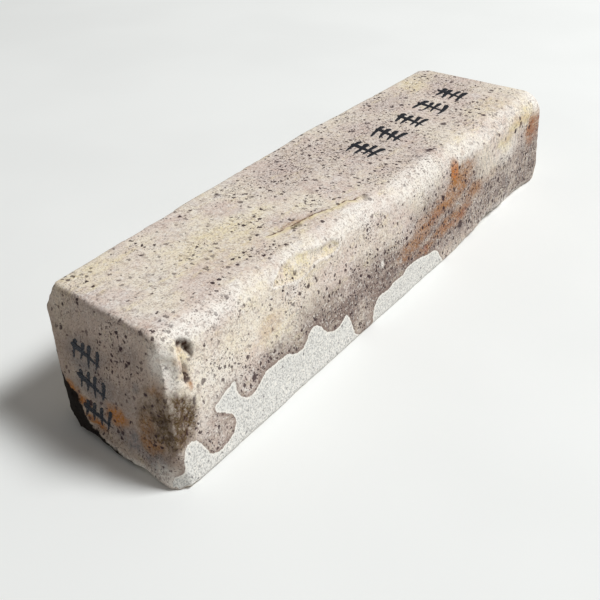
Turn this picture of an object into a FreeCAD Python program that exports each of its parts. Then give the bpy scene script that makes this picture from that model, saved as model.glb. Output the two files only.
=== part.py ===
import FreeCAD, Part
import math
import os

# A natural sharpening stone: one hand-sawn block, a little out of square, with brush
# marks in ink that has soaked a hair's breadth into the honing face and one end.
# Millimetres. X runs along the stone, -X is the raked end with the ink marks, -Y is the
# front side, +Z is up. The resting face lies on z = 0, and the origin is under the middle
# of the stone's bounding box.

# Driving sizes of the sawn block
STONE_LENGTH = 205.0        # foot to foot along the front side
STONE_HEIGHT = 34.5         # resting face to honing face
NEAR_FOOT_WIDTH = 39.1      # resting face, at the -X end
NEAR_TOP_WIDTH = 45.3       # honing face, at the -X end, before its back edge was bevelled
FAR_FOOT_WIDTH = 47.7       # resting face, at the +X end
FAR_TOP_WIDTH = 48.9        # honing face, at the +X end
NEAR_TOP_SHIFT = 8.7        # the -X end's front edge leans this far to the back
FAR_TOP_SHIFT = 0.6         # the +X end's front edge leans a little to the back
NEAR_END_RAKE = 7.9         # the -X end's top edge stands in from its foot
FAR_END_RAKE = 4.9          # the +X end's top edge stands in from its foot
NEAR_END_SKEW = 3.5         # the -X end is out of square: its back foot stands in

# Wear and damage
RIDGE_RADIUS = 7.0          # the front edge of the honing face, worn round by use
EDGE_RADIUS = 1.2           # every other edge
BREAK_HEIGHT = 5.5          # broken foot corner: up the back edge of the -X end
BREAK_WIDTH = 4.0           # broken foot corner: along the foot of the -X end
BREAK_LENGTH = 8.0          # broken foot corner: along the foot of the back side
CHIP_LENGTH = 7.0           # facet off the upright front corner of the -X end: along the ridge
CHIP_WIDTH = 4.0            # the same facet, along that end's top edge
CHIP_HEIGHT = 26.0          # how far down that corner the facet runs
BEVEL_LENGTH = 135.0        # bevel on the back edge of the honing face, from the -X end
BEVEL_WIDTH = 5.8           # how much of the honing face it takes at that end
BEVEL_HEIGHT = 7.5          # how far down the back edge of that end it comes
SPALL_FROM_END = 50.0       # shallow spall on the ridge: its middle, from the -X end
SPALL_RADIUS = 45.0         # radius of its hollow
SPALL_DEPTH = 1.2           # how far it dips into the worn ridge

# Ink marks, each a bundle of upright brush strokes with one stroke across it
SOAK_DEPTH = 0.15           # how far the ink has soaked into the stone
BRUSH_HEEL = 0.85           # half the width of a stroke where the brush lands
BRUSH_TIP = 0.35            # half the width where it lifts off
UPRIGHT_STROKES = 4         # upright strokes in a mark
CROSS_SLOPE = 0.35          # slope of the stroke across them
TOP_MARKS = 5               # marks on the honing face
TOP_MARK_SIZE = 11.5        # height and width of a mark there
TOP_MARK_PITCH = 14.8       # along the stone
TOP_MARKS_FROM_FAR = 20.0   # middle of the last mark, from the +X end's top edge
MARKS_BACK = 2.1            # the column stands this far back of the middle of the +X end
END_MARKS = 3               # marks on the -X end
END_MARK_GAP = 1.0          # between one mark and the next there
END_MARKS_DROP = 13.5       # middle of the topmost mark, down the end from the honing face
END_MARKS_RISE = 7.3        # middle of the lowest mark, up the end from its foot
END_MARKS_SIDE = 19.2       # middle of the topmost mark, in from the back top corner

STEP_FOLDER = "parts"
CLEAR_OF_FACE = 1.0         # cutting tools stand this far outside the face they enter
SMOOTH_ANGLE = 10.0         # degrees: faces that meet closer than this need no rounding


def point(x, y, z):
    return FreeCAD.Vector(x, y, z)


def near_end_x(y, z):
    """X of the -X end's plane."""
    raked = NEAR_END_RAKE * z / STONE_HEIGHT
    skewed = NEAR_END_SKEW * y / NEAR_FOOT_WIDTH
    return -STONE_LENGTH / 2 + raked + skewed


def far_end_x(z):
    """X of the +X end's plane."""
    return STONE_LENGTH / 2 - FAR_END_RAKE * z / STONE_HEIGHT


def near_corner(y, z):
    return point(near_end_x(y, z), y, z)


def far_corner(y, z):
    return point(far_end_x(z), y, z)


def flat_face(corners):
    return Part.Face(Part.makePolygon(corners + corners[:1]))


def twisted_face(foot, top):
    """A sawn side whose lean changes along the stone, between its foot and top edges."""
    return Part.makeRuledSurface(Part.makeLine(*foot), Part.makeLine(*top))


def end_corners(corner, shift, width, height):
    """The front and back corners of one end at one height."""
    return corner(shift, height), corner(shift + width, height)


def sawn_block():
    """The block as it left the saw, with its front foot on y = 0."""
    near_foot = end_corners(near_corner, 0, NEAR_FOOT_WIDTH, 0)
    near_top = end_corners(near_corner, NEAR_TOP_SHIFT, NEAR_TOP_WIDTH, STONE_HEIGHT)
    far_foot = end_corners(far_corner, 0, FAR_FOOT_WIDTH, 0)
    far_top = end_corners(far_corner, FAR_TOP_SHIFT, FAR_TOP_WIDTH, STONE_HEIGHT)
    faces = [
        flat_face([near_foot[0], near_foot[1], far_foot[1], far_foot[0]]),
        flat_face([near_top[0], far_top[0], far_top[1], near_top[1]]),
        flat_face([near_foot[0], near_top[0], near_top[1], near_foot[1]]),
        flat_face([far_foot[0], far_foot[1], far_top[1], far_top[0]]),
        twisted_face((near_foot[0], far_foot[0]), (near_top[0], far_top[0])),
        twisted_face((near_foot[1], far_foot[1]), (near_top[1], far_top[1])),
    ]
    shell = Part.Shell(faces)
    shell.sewShape()
    return Part.Solid(shell)


def ridge_edge(block):
    """The front edge of the honing face."""
    def height_less_back(edge):
        middle = edge.CenterOfMass
        return middle.z - middle.y
    long_edges = [edge for edge in block.Edges if edge.Length > STONE_LENGTH / 2]
    return max(long_edges, key=height_less_back)


def is_sharp(block, edge):
    """True where the two faces beside an edge meet at an angle."""
    middle = edge.valueAt((edge.FirstParameter + edge.LastParameter) / 2)
    normals = []
    for face in block.ancestorsOfType(edge, Part.Face):
        normals.append(face.normalAt(*face.Surface.parameter(middle)))
    return math.degrees(normals[0].getAngle(normals[1])) > SMOOTH_ANGLE


def worn_block():
    """The sawn block with its ridge worn round and its other edges softened."""
    block = sawn_block()
    block = block.makeFillet(RIDGE_RADIUS, [ridge_edge(block)])
    sharp = [edge for edge in block.Edges if is_sharp(block, edge)]
    return block.makeFillet(EDGE_RADIUS, sharp)


def beyond(place, outward):
    """A large block that fills the space beyond a plane, to cut a facet with."""
    size = 2 * STONE_LENGTH
    space = Part.makeBox(size, size, size, point(-size / 2, -size / 2, 0))
    space.Placement = FreeCAD.Placement(place, FreeCAD.Rotation(point(0, 0, 1), outward))
    return space


def plane_through(first, second, third, outside):
    """A plane's point and normal, the normal pointing to the side of outside."""
    normal = (second - first).cross(third - first)
    if normal.dot(outside - first) < 0:
        normal = -normal
    return first, normal


def broken_foot():
    """The piece missing from the back foot corner of the -X end."""
    corner = near_corner(NEAR_FOOT_WIDTH, 0)
    lean = (NEAR_TOP_SHIFT + NEAR_TOP_WIDTH - NEAR_FOOT_WIDTH) * BREAK_HEIGHT / STONE_HEIGHT
    up_the_end = near_corner(NEAR_FOOT_WIDTH + lean, BREAK_HEIGHT)
    along_the_foot = near_corner(NEAR_FOOT_WIDTH - BREAK_WIDTH, 0)
    along_the_side = corner + point(BREAK_LENGTH, 0, 0)
    return beyond(*plane_through(up_the_end, along_the_foot, along_the_side, corner))


def knocked_corner():
    """The facet knocked off the upright front corner of the -X end, widest at the top."""
    top = near_corner(NEAR_TOP_SHIFT, STONE_HEIGHT)
    foot = near_corner(0, 0)
    along_the_ridge = top + point(CHIP_LENGTH, 0, 0)
    along_the_end = near_corner(NEAR_TOP_SHIFT + CHIP_WIDTH, STONE_HEIGHT)
    down_the_corner = top + (foot - top) * (CHIP_HEIGHT / STONE_HEIGHT)
    return beyond(*plane_through(along_the_ridge, along_the_end, down_the_corner, top))


def back_bevel():
    """What the long bevel takes off the back edge of the honing face, deepest at the -X end."""
    corner = near_corner(NEAR_TOP_SHIFT + NEAR_TOP_WIDTH, STONE_HEIGHT)
    foot = near_corner(NEAR_FOOT_WIDTH, 0)
    far_top = far_corner(FAR_TOP_SHIFT + FAR_TOP_WIDTH, STONE_HEIGHT)
    along_the_edge = corner + (far_top - corner) * (BEVEL_LENGTH / STONE_LENGTH)
    across_the_face = near_corner(NEAR_TOP_SHIFT + NEAR_TOP_WIDTH - BEVEL_WIDTH, STONE_HEIGHT)
    down_the_end = corner + (foot - corner) * (BEVEL_HEIGHT / STONE_HEIGHT)
    return beyond(*plane_through(along_the_edge, across_the_face, down_the_end, corner))


def ridge_spall():
    """The hollow of a shallow spall on the worn ridge."""
    along = SPALL_FROM_END / STONE_LENGTH
    start = near_corner(NEAR_TOP_SHIFT, STONE_HEIGHT)
    finish = far_corner(FAR_TOP_SHIFT, STONE_HEIGHT)
    ridge = start + (finish - start) * along
    outward = point(0, -1, 1).normalize()
    worn_back = RIDGE_RADIUS * (math.sqrt(2) - 1)
    return Part.makeSphere(SPALL_RADIUS, ridge + outward * (SPALL_RADIUS - worn_back - SPALL_DEPTH))


def brush_stroke(start, finish):
    """One stroke on the drawing plane: round at both ends, narrowing to its tip."""
    along = finish - start
    heading = math.atan2(along.y, along.x)
    flare = math.acos((BRUSH_HEEL - BRUSH_TIP) / along.Length)

    def rim(centre, radius, angle):
        return centre + point(math.cos(angle), math.sin(angle), 0) * radius

    heel_left = rim(start, BRUSH_HEEL, heading + flare)
    heel_back = rim(start, BRUSH_HEEL, heading + math.pi)
    heel_right = rim(start, BRUSH_HEEL, heading - flare)
    tip_right = rim(finish, BRUSH_TIP, heading - flare)
    tip_front = rim(finish, BRUSH_TIP, heading)
    tip_left = rim(finish, BRUSH_TIP, heading + flare)
    outline = Part.Wire([
        Part.Arc(heel_left, heel_back, heel_right).toShape(),
        Part.makeLine(heel_right, tip_right),
        Part.Arc(tip_right, tip_front, tip_left).toShape(),
        Part.makeLine(tip_left, heel_left),
    ])
    depth = SOAK_DEPTH + CLEAR_OF_FACE
    face = Part.Face(outline)
    face.translate(point(0, 0, -SOAK_DEPTH))
    return face.extrude(point(0, 0, depth))


def brush_mark(size, centre):
    """A bundle of upright strokes with one across it, about a centre on the drawing plane."""
    reach = size / 2 - BRUSH_HEEL
    spacing = 2 * reach / (UPRIGHT_STROKES - 1)
    strokes = []
    for count in range(UPRIGHT_STROKES):
        side = -reach + count * spacing
        strokes.append(brush_stroke(centre + point(side, reach, 0), centre + point(side, -reach, 0)))
    fall = reach * CROSS_SLOPE
    strokes.append(brush_stroke(centre + point(-reach, fall, 0), centre + point(reach, -fall, 0)))
    return strokes[0].multiFuse(strokes[1:])


def drawing_plane(origin, right, up):
    """Placement of a drawing plane whose X is right and Y is up, seen from outside."""
    outward = right.cross(up)
    columns = FreeCAD.Matrix(
        right.x, up.x, outward.x, origin.x,
        right.y, up.y, outward.y, origin.y,
        right.z, up.z, outward.z, origin.z,
    )
    return FreeCAD.Placement(columns)


def soaked_marks(block, centres, size, plane):
    """The ink of a column of marks, as far as it has soaked into the block."""
    soaked = []
    for centre in centres:
        mark = brush_mark(size, centre)
        mark.Placement = plane
        soaked += block.common(mark).Solids
    return Part.makeCompound(soaked)


def top_marks(block):
    """The column of marks down the middle of the honing face."""
    middle = FAR_TOP_SHIFT + FAR_TOP_WIDTH / 2 + MARKS_BACK
    origin = far_corner(middle, STONE_HEIGHT) - point(TOP_MARKS_FROM_FAR, 0, 0)
    plane = drawing_plane(origin, point(0, -1, 0), point(1, 0, 0))
    centres = [point(0, -count * TOP_MARK_PITCH, 0) for count in range(TOP_MARKS)]
    return soaked_marks(block, centres, TOP_MARK_SIZE, plane)


def end_marks(block):
    """The column of marks down the raked -X end, which fills the height left to it."""
    foot = near_corner(NEAR_FOOT_WIDTH, 0)
    back_top = near_corner(NEAR_TOP_SHIFT + NEAR_TOP_WIDTH, STONE_HEIGHT)
    along_end = near_corner(0, 0) - foot
    up_end = back_top - foot
    outward = along_end.cross(up_end).normalize()
    right = along_end / along_end.Length
    up = outward.cross(right)
    end_height = up_end.dot(up)
    pitch = (end_height - END_MARKS_DROP - END_MARKS_RISE) / (END_MARKS - 1)
    origin = back_top + right * END_MARKS_SIDE - up * END_MARKS_DROP
    plane = drawing_plane(origin, right, up)
    lean = up_end.dot(right) / end_height
    centres = [point(-count * pitch * lean, -count * pitch, 0) for count in range(END_MARKS)]
    return soaked_marks(block, centres, pitch - END_MARK_GAP, plane)


block = worn_block()
for missing in (back_bevel(), broken_foot(), knocked_corner(), ridge_spall()):
    block = block.cut(missing)
top_ink = top_marks(block)
end_ink = end_marks(block)
block = block.cut(Part.makeCompound([top_ink, end_ink]))

nodes = {
    "whetstone_block": block,
    "top_ink_marks": top_ink,
    "end_ink_marks": end_ink,
}
box = block.optimalBoundingBox()
to_origin = -point(box.Center.x, box.Center.y, box.ZMin)
os.makedirs(STEP_FOLDER, exist_ok=True)
for name, shape in nodes.items():
    shape.translate(to_origin)
    shape.exportStep(f"{STEP_FOLDER}/{name}.step")
    print(name, len(shape.Solids), "solids, valid", shape.isValid(), "volume", round(shape.Volume, 2))
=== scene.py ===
import math
import random

import bmesh
import bpy
import numpy as np
from mathutils import Euler, Matrix, Vector
from mathutils.bvhtree import BVHTree


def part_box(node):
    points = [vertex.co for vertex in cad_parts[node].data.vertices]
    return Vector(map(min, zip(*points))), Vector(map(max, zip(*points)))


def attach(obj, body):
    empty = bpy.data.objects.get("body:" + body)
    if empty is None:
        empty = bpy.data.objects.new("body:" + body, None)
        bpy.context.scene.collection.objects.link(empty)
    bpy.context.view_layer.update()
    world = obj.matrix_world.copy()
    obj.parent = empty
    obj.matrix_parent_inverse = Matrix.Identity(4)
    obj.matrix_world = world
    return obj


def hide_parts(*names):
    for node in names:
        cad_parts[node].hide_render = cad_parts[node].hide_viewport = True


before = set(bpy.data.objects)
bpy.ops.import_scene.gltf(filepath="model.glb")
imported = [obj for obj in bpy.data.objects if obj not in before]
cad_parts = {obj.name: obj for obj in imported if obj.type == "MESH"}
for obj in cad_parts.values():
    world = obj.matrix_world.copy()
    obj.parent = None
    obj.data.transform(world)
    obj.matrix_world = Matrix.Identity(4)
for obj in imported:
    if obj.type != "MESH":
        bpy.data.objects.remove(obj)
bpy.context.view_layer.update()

bl_info = {
    "name": "Natural Whetstone",
    "version": (1, 0, 0),
    "blender": (4, 5, 0),
    "location": "View3D > Sidebar > Whetstone",
    "description": "Builds a hand-sawn natural sharpening stone with its stains and ink marks",
    "category": "Add Mesh",
}

# The stone's fields and outlines are worked out in millimetres, and its meshes in metres.
MM = 0.001
BLOCK_LOW, BLOCK_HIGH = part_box("whetstone_block")
TOP_MARKS_LOW, TOP_MARKS_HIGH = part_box("top_ink_marks")
END_MARKS_LOW, END_MARKS_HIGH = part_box("end_ink_marks")


# ---------------- settings

def length(name, description, default):
    return bpy.props.FloatProperty(
        name=name, description=description, default=default, min=0.0, precision=5, unit="LENGTH")


def colour(name, description, red, green, blue):
    """A colour property whose default is given as display values from 0 to 255."""
    linear = [display_to_linear(value) for value in (red, green, blue)]
    return bpy.props.FloatVectorProperty(
        name=name, description=description, default=linear, subtype="COLOR", min=0.0, max=1.0)


def display_to_linear(value):
    share = value / 255
    return share / 12.92 if share <= 0.04045 else ((share + 0.055) / 1.055) ** 2.4


class WhetstoneSizes(bpy.types.PropertyGroup):
    foot_length: length("Foot length", "Foot to foot along the front side", 0.205)
    height: length("Height", "Resting face to honing face", BLOCK_HIGH.z - BLOCK_LOW.z)
    near_foot_width: length("Near foot width", "Resting face at the marked end", 0.0391)
    near_top_width: length("Near top width", "Honing face there before its back edge was bevelled", 0.0453)
    far_foot_width: length("Far foot width", "Resting face at the plain end", 0.0477)
    far_top_width: length("Far top width", "Honing face at the plain end", 0.0489)
    near_shift: length("Near shift", "How far the marked end's front edge leans back", 0.0087)
    far_shift: length("Far shift", "How far the plain end's front edge leans back", 0.0006)
    near_rake: length("Near rake", "The marked end's top edge stands in from its foot", 0.0079)
    far_rake: length("Far rake", "The plain end's top edge stands in from its foot", 0.0049)
    near_skew: length("Near skew", "The marked end's back foot stands in", 0.0035)
    ridge_radius: length("Ridge radius", "Front edge of the honing face, worn round", 0.007)
    edge_radius: length("Edge radius", "Every other edge", 0.0012)
    chip_length: length("Chip length", "Facet off the upright front corner, along the ridge", 0.007)
    chip_width: length("Chip width", "The same facet, along the marked end's top edge", 0.004)
    chip_height: length("Chip height", "How far down that corner the facet runs", 0.026)
    break_height: length("Break height", "Broken foot corner, up the marked end", 0.0055)
    break_width: length("Break width", "Broken foot corner, along the marked end's foot", 0.004)
    break_length: length("Break length", "Broken foot corner, along the back foot", 0.008)
    bevel_length: length("Bevel length", "Bevel along the back edge of the honing face", 0.135)
    bevel_width: length("Bevel width", "What the bevel takes off the honing face at the marked end", 0.0058)
    bevel_height: length("Bevel height", "How far the bevel comes down the marked end", 0.0075)
    corner_wear: length("Corner wear", "Worn off the two front foot corners and the far back corner", 0.004)
    mesh_step: length("Mesh step", "Spacing of the finished mesh", 0.00066)
    side_relief: length("Side relief", "Height of the saw's unevenness on the sides", 0.00035)
    top_relief: length("Top relief", "Height of the unevenness on the honing face", 0.00007)


class WhetstoneColours(bpy.types.PropertyGroup):
    cream: colour("Cream", "The weathered skin", 238, 226, 206)
    blush: colour("Blush", "Pinker clouds in the skin", 222, 203, 190)
    lavender: colour("Lavender", "Cooler clouds in the skin", 214, 205, 202)
    mauve: colour("Mauve", "Thickly specked clouds", 192, 172, 164)
    # The marked end's browner skin, with painted shade that makes it stronger below the end's top edge.
    weather_and_shade: colour("Weathered", "The browner skin of the marked end", 158, 138, 122)
    speck: colour("Speck", "Dark grains in the skin", 60, 42, 46)
    fresh: colour("Fresh stone", "Unstained stone under the skin", 228, 226, 220)
    fresh_grain: colour("Fresh grain", "Grey grains in the unstained stone", 134, 131, 130)
    tide: colour("Tide mark", "The skin where its stain gathers", 134, 117, 107)
    yellow: colour("Yellow", "Sulphur-coloured patches", 238, 222, 176)
    ochre: colour("Ochre", "Iron stains", 172, 116, 58)
    amber: colour("Amber", "The hottest iron stain", 200, 120, 50)
    rust: colour("Rust", "Redder iron stains", 148, 94, 70)
    vein: colour("Vein", "The dark line across the honing face", 92, 58, 52)
    olive: colour("Olive", "Earth left in rough patches", 108, 88, 56)
    # Dark earth in the broken hollows and at the rough front corner of the marked end, deepened with
    # painted shade.
    umber_and_shade: colour("Umber", "The bottoms of broken hollows", 50, 27, 12)
    slate: colour("Slate", "Blue-grey stains", 116, 114, 116)
    # Near black: a dark stain on the broken foot corner, with painted shade of its undercut and of the
    # contact gap along the marked end's foot.
    soot_and_shade: colour("Soot", "The broken foot corner", 14, 9, 8)
    # White of worn stone and salt grains, also laid as painted highlight on the worn ridge and the knocked
    # facet.
    chalk_and_highlight: colour("Chalk", "Worn white edges", 248, 243, 234)


class WhetstoneInk(bpy.types.PropertyGroup):
    ink: colour("Ink", "Thick ink", 22, 24, 32)
    dry_ink: colour("Dry ink", "Ink where the brush ran dry", 66, 72, 84)
    heel: length("Heel", "Half the width of a stroke where the brush lands", 0.00062)
    tip: length("Tip", "Half the width of a stroke where the brush lifts off", 0.00034)
    end_mark_size: length("End mark size", "Height of a mark on the end", 0.0072)
    film: length("Film", "How far the ink stands on the stone", 0.00004)
    seed: bpy.props.IntProperty(name="Seed", description="Which hand drew the marks", default=7)


class WhetstoneStage(bpy.types.PropertyGroup):
    floor: colour("Floor", "The sheet that the stone lies on", 243, 244, 242)
    key_power: bpy.props.FloatProperty(
        name="Key power", description="Power of the large lamp", default=40.6, unit="POWER")
    sky: bpy.props.FloatProperty(
        name="Sky", description="Strength of the even light from all round", default=0.19)


# ---------------- the sawn block

SHARP_ANGLE = math.radians(40)


def near_end_x(sizes, y, z):
    """X of the marked end's plane, with the front foot on y = 0."""
    raked = sizes.near_rake * z / sizes.height
    skewed = sizes.near_skew * y / sizes.near_foot_width
    return -sizes.foot_length / 2 + raked + skewed


def near_corner(sizes, y, z):
    return Vector((near_end_x(sizes, y, z), y, z))


def far_corner(sizes, y, z):
    return Vector((sizes.foot_length / 2 - sizes.far_rake * z / sizes.height, y, z))


def sawn_point(sizes, along, back, up):
    """A point of the sawn block: along, back and up each run from 0 to 1."""
    z = up * sizes.height
    near_y = up * sizes.near_shift
    near_y += back * (sizes.near_top_width * up + sizes.near_foot_width * (1 - up))
    far_y = up * sizes.far_shift
    far_y += back * (sizes.far_top_width * up + sizes.far_foot_width * (1 - up))
    return near_corner(sizes, near_y, z).lerp(far_corner(sizes, far_y, z), along)


def cut_facet(bm, first, second, third, lost):
    """Cuts the block on the plane through three points, and drops the side of lost."""
    outward = (second - first).cross(third - first).normalized()
    if outward.dot(lost - first) < 0:
        outward.negate()
    geometry = bm.verts[:] + bm.edges[:] + bm.faces[:]
    bmesh.ops.bisect_plane(bm, geom=geometry, plane_co=first, plane_no=outward, clear_outer=True)
    rim = [edge for edge in bm.edges if edge.is_boundary]
    bmesh.ops.holes_fill(bm, edges=rim, sides=0)


def round_edges(bm, edges, radius, segments):
    bmesh.ops.bevel(
        bm, geom=edges, offset=radius, offset_type="OFFSET", affect="EDGES", segments=segments,
        profile=0.5, material=-1, clamp_overlap=False)


def rounded_block(sizes):
    """The sawn block with its ridge worn round and its other edges softened."""
    bm = bmesh.new()
    bmesh.ops.create_cube(bm, size=2.0)
    along = [e for e in bm.edges if abs(e.verts[0].co.x - e.verts[1].co.x) > 1]
    bmesh.ops.subdivide_edges(bm, edges=along, cuts=24, use_grid_fill=True)
    ridge = [e for e in bm.edges if all(v.co.y < 0 < v.co.z for v in e.verts)]
    for vert in bm.verts:
        vert.co = sawn_point(sizes, *((value + 1) / 2 for value in vert.co))
    round_edges(bm, ridge, sizes.ridge_radius, 8)
    sharp = [e for e in bm.edges if e.calc_face_angle(0) > SHARP_ANGLE]
    round_edges(bm, sharp, sizes.edge_radius, 3)
    return bm


def sawn_block(sizes):
    """The rounded block with its knocked corner, bevel, broken foot and three worn corners cut."""
    bm = rounded_block(sizes)
    height, wear = sizes.height, sizes.corner_wear
    along = Vector((1, 0, 0))

    foot = near_corner(sizes, 0, 0)
    top = near_corner(sizes, sizes.near_shift, height)
    beside_top = near_corner(sizes, sizes.near_shift + sizes.chip_width, height)
    down_corner = top.lerp(foot, sizes.chip_height / height)
    cut_facet(bm, top + along * sizes.chip_length, beside_top, down_corner, lost=top)

    top_back = sizes.near_shift + sizes.near_top_width
    back_top = near_corner(sizes, top_back, height)
    back_foot = near_corner(sizes, sizes.near_foot_width, 0)
    far_top = far_corner(sizes, sizes.far_shift + sizes.far_top_width, height)
    bevel_end = back_top.lerp(far_top, sizes.bevel_length / sizes.foot_length)
    bevel_top = near_corner(sizes, top_back - sizes.bevel_width, height)
    bevel_foot = back_top.lerp(back_foot, sizes.bevel_height / height)
    cut_facet(bm, bevel_end, bevel_top, bevel_foot, lost=back_top)

    lean = (top_back - sizes.near_foot_width) * sizes.break_height / height
    break_top = near_corner(sizes, sizes.near_foot_width + lean, sizes.break_height)
    break_side = near_corner(sizes, sizes.near_foot_width - sizes.break_width, 0)
    cut_facet(bm, break_top, break_side, back_foot + along * sizes.break_length, lost=back_foot)

    up_corner = foot.lerp(top, 4 * wear / height)
    cut_facet(bm, foot + along * wear, near_corner(sizes, wear, 0), up_corner, lost=foot)
    far_foot = far_corner(sizes, 0, 0)
    beside_far, above_far = far_corner(sizes, wear, 0), far_corner(sizes, 0, 2 * wear)
    cut_facet(bm, far_foot - along * wear, beside_far, above_far, lost=far_foot)
    far_back_foot = far_corner(sizes, sizes.far_foot_width, 0)
    before_far = far_top - Vector((0, wear, 0))
    cut_facet(bm, far_top - along * wear, before_far, far_back_foot, lost=far_top)
    return bm


def settle(bm):
    """Moves the block to the place that the frame gives it."""
    low = Vector([min(v.co[axis] for v in bm.verts) for axis in range(3)])
    high = Vector([max(v.co[axis] for v in bm.verts) for axis in range(3)])
    shift = (BLOCK_LOW + BLOCK_HIGH) / 2 - (low + high) / 2
    shift.z = BLOCK_LOW.z - low.z
    bmesh.ops.translate(bm, vec=shift, verts=bm.verts)


def mesh_from(bm, name):
    """Turns the bmesh into a mesh, and frees it."""
    mesh = bpy.data.meshes.new(name)
    bm.to_mesh(mesh)
    bm.free()
    return mesh


def placed(name, data):
    """A new object in the scene."""
    item = bpy.data.objects.new(name, data)
    bpy.context.scene.collection.objects.link(item)
    return item


def even_mesh(bm, step, name):
    """The block again as an even mesh of small squares, which wear can be worked into."""
    rough = mesh_from(bm, name + "_rough")
    holder = placed(name + "_rough", rough)
    remesh = holder.modifiers.new("Even", "REMESH")
    remesh.mode = "VOXEL"
    remesh.voxel_size = step
    remesh.use_smooth_shade = True
    soften = holder.modifiers.new("Soften", "SMOOTH")
    soften.factor = 0.5
    soften.iterations = 3
    depsgraph = bpy.context.evaluated_depsgraph_get()
    mesh = bpy.data.meshes.new_from_object(holder.evaluated_get(depsgraph))
    mesh.name = name
    bpy.data.objects.remove(holder)
    bpy.data.meshes.remove(rough)
    return mesh


# ---------------- noise and masks

def lattice_value(cell, seed):
    """A repeatable value from 0 to 1 for each lattice cell."""
    mixed = cell[:, 0] * 374761393 + cell[:, 1] * 668265263 + cell[:, 2] * 2147483647 + seed * 144665
    mixed = (mixed ^ (mixed >> 13)) * 1274126177
    mixed = mixed ^ (mixed >> 16)
    return (mixed & 0xFFFFFF) / 0xFFFFFF


def smooth_noise(points, size, seed):
    """Smooth noise from -1 to 1 whose bumps are size apart."""
    scaled = points / size + 1000.0
    cell = np.floor(scaled).astype(np.int64)
    part = scaled - cell
    part = part * part * (3 - 2 * part)
    total = np.zeros(len(points))
    for corner in range(8):
        step = np.array([corner & 1, (corner >> 1) & 1, (corner >> 2) & 1])
        weight = np.where(step, part, 1 - part).prod(axis=1)
        total += weight * lattice_value(cell + step, seed)
    return total * 2 - 1


def layered_noise(points, size, layers, seed):
    """Noise with finer and finer layers, each half as high as the last."""
    total = np.zeros(len(points))
    for layer in range(layers):
        total += smooth_noise(points, size / 2 ** layer, seed + layer) / 2 ** layer
    return total / (2 - 2 ** (1 - layers))


def smooth_step(value, low, high):
    share = np.clip((value - low) / (high - low), 0, 1)
    return share * share * (3 - 2 * share)


def warped(points, seed):
    """Points pushed about a little, so that a mask on them has a natural outline."""
    pushes = []
    for axis in range(3):
        coarse = layered_noise(points, 7.0, 2, seed + 10 * axis) * 2.2
        fine = smooth_noise(points, 1.8, seed + 10 * axis + 5) * 0.7
        pushes.append(coarse + fine)
    return points + np.stack(pushes, axis=1)


def spot_reach(points, spot):
    """How far each point is from the spot's centre, 1 where it is one radius away."""
    return np.linalg.norm((points - spot[:3]) / spot[3:6], axis=1)


def patches(points, spots, softness=0.6):
    """How strongly each point lies in any of the spots: centre, three radii, strength."""
    mask = np.zeros(len(points))
    for spot in spots:
        inside = smooth_step(spot_reach(points, spot), 1 + softness, 1 - softness)
        mask = np.maximum(mask, spot[6] * inside)
    return mask


def rounded_outline(corners, steps=4):
    """A closed outline that runs smoothly through its corners."""
    corners = np.array(corners, float)
    before, after = np.roll(corners, 1, 0), np.roll(corners, -1, 0)
    beyond = np.roll(corners, -2, 0)
    points = []
    for step in range(steps):
        t = step / steps
        points.append(0.5 * (
            2 * corners + (after - before) * t
            + (2 * before - 5 * corners + 4 * after - beyond) * t ** 2
            + (3 * corners - before - 3 * after + beyond) * t ** 3))
    return np.stack(points, axis=1).reshape(-1, 2)


def inside_distance(points, outline):
    """Distance from the outline, above 0 for points inside it and below 0 outside."""
    nearest = np.full(len(points), np.inf)
    inside = np.zeros(len(points), bool)
    for start, finish in zip(outline, np.roll(outline, -1, 0)):
        run = finish - start
        away = points - start
        share = np.clip(away @ run / (run @ run), 0, 1)
        nearest = np.minimum(nearest, np.linalg.norm(away - share[:, None] * run, axis=1))
        if run[1]:
            crosses = (start[1] > points[:, 1]) != (finish[1] > points[:, 1])
            left = points[:, 0] < start[0] + (points[:, 1] - start[1]) / run[1] * run[0]
            inside ^= crosses & left
    return np.where(inside, nearest, -nearest)


# ---------------- stains, in millimetres

# The places below are measured from a point a hair off the frame's origin.
PLACES_ORIGIN = np.array([0.15, -0.80, 0.0])

# Fresh stone along the foot of the front side: outlines in x and z.
FRESH_OUTLINES = [
    [
        (-106, -4), (-105, 1.6), (-99.6, 4.4), (-98.6, 7.6), (-97, 9.8), (-95.2, 10.2), (-93.3, 9.3),
        (-92.2, 7.6), (-91.4, 6.2), (-90.8, 4.6), (-89, 3.4), (-85.8, 3.2), (-82.2, 4.4), (-80.2, 6.4),
        (-80.6, 8.4), (-82.4, 10), (-85.2, 12), (-84.8, 13.4), (-82.5, 14.1), (-79.4, 14.9),
        (-76.6, 15.4), (-77.2, 13), (-76.1, 10.7), (-73.6, 9.3), (-71, 9.6), (-67.8, 11.2),
        (-65.6, 11.8), (-60.5, 11.9), (-57, 11.7), (-54.4, 10.4), (-51.4, 10.1), (-49, 11.2),
        (-46.9, 12.8), (-44.4, 13.2), (-42.4, 12), (-40.6, 9.7), (-38.2, 8.3), (-35.2, 7.9),
        (-32.6, 8.7), (-30.4, 9.4), (-29, 6.6), (-28.3, 2.6), (-27.8, -4),
    ],
    [
        (-19.8, -4), (-18.8, 0.6), (-17.9, 3.8), (-16.2, 5.8), (-13.4, 7.2), (-9.2, 6.7), (-5.4, 7.5),
        (-0.6, 7.4), (3, 8.6), (9.4, 8.3), (15.4, 7.1), (20, 6.4), (22.4, 3.5), (23.2, -4),
    ],
]
# The black part of the marked end, above its broken foot corner and along its foot: a dark stain with
# painted shade of the undercut and of the contact gap beneath the foot. Outline in y and z.
SOOT_AND_SHADE_OUTLINE = [
    (24, 17), (19.4, 14), (16.4, 11.4), (14.2, 10), (12.2, 9), (10.4, 7.4), (9, 5.6), (6.8, 4),
    (3.6, 2.9), (0.6, 2.2), (-4, 1.5), (-10, 0.9), (-14, 0.4), (-16, -4), (24, -4),
]

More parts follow.
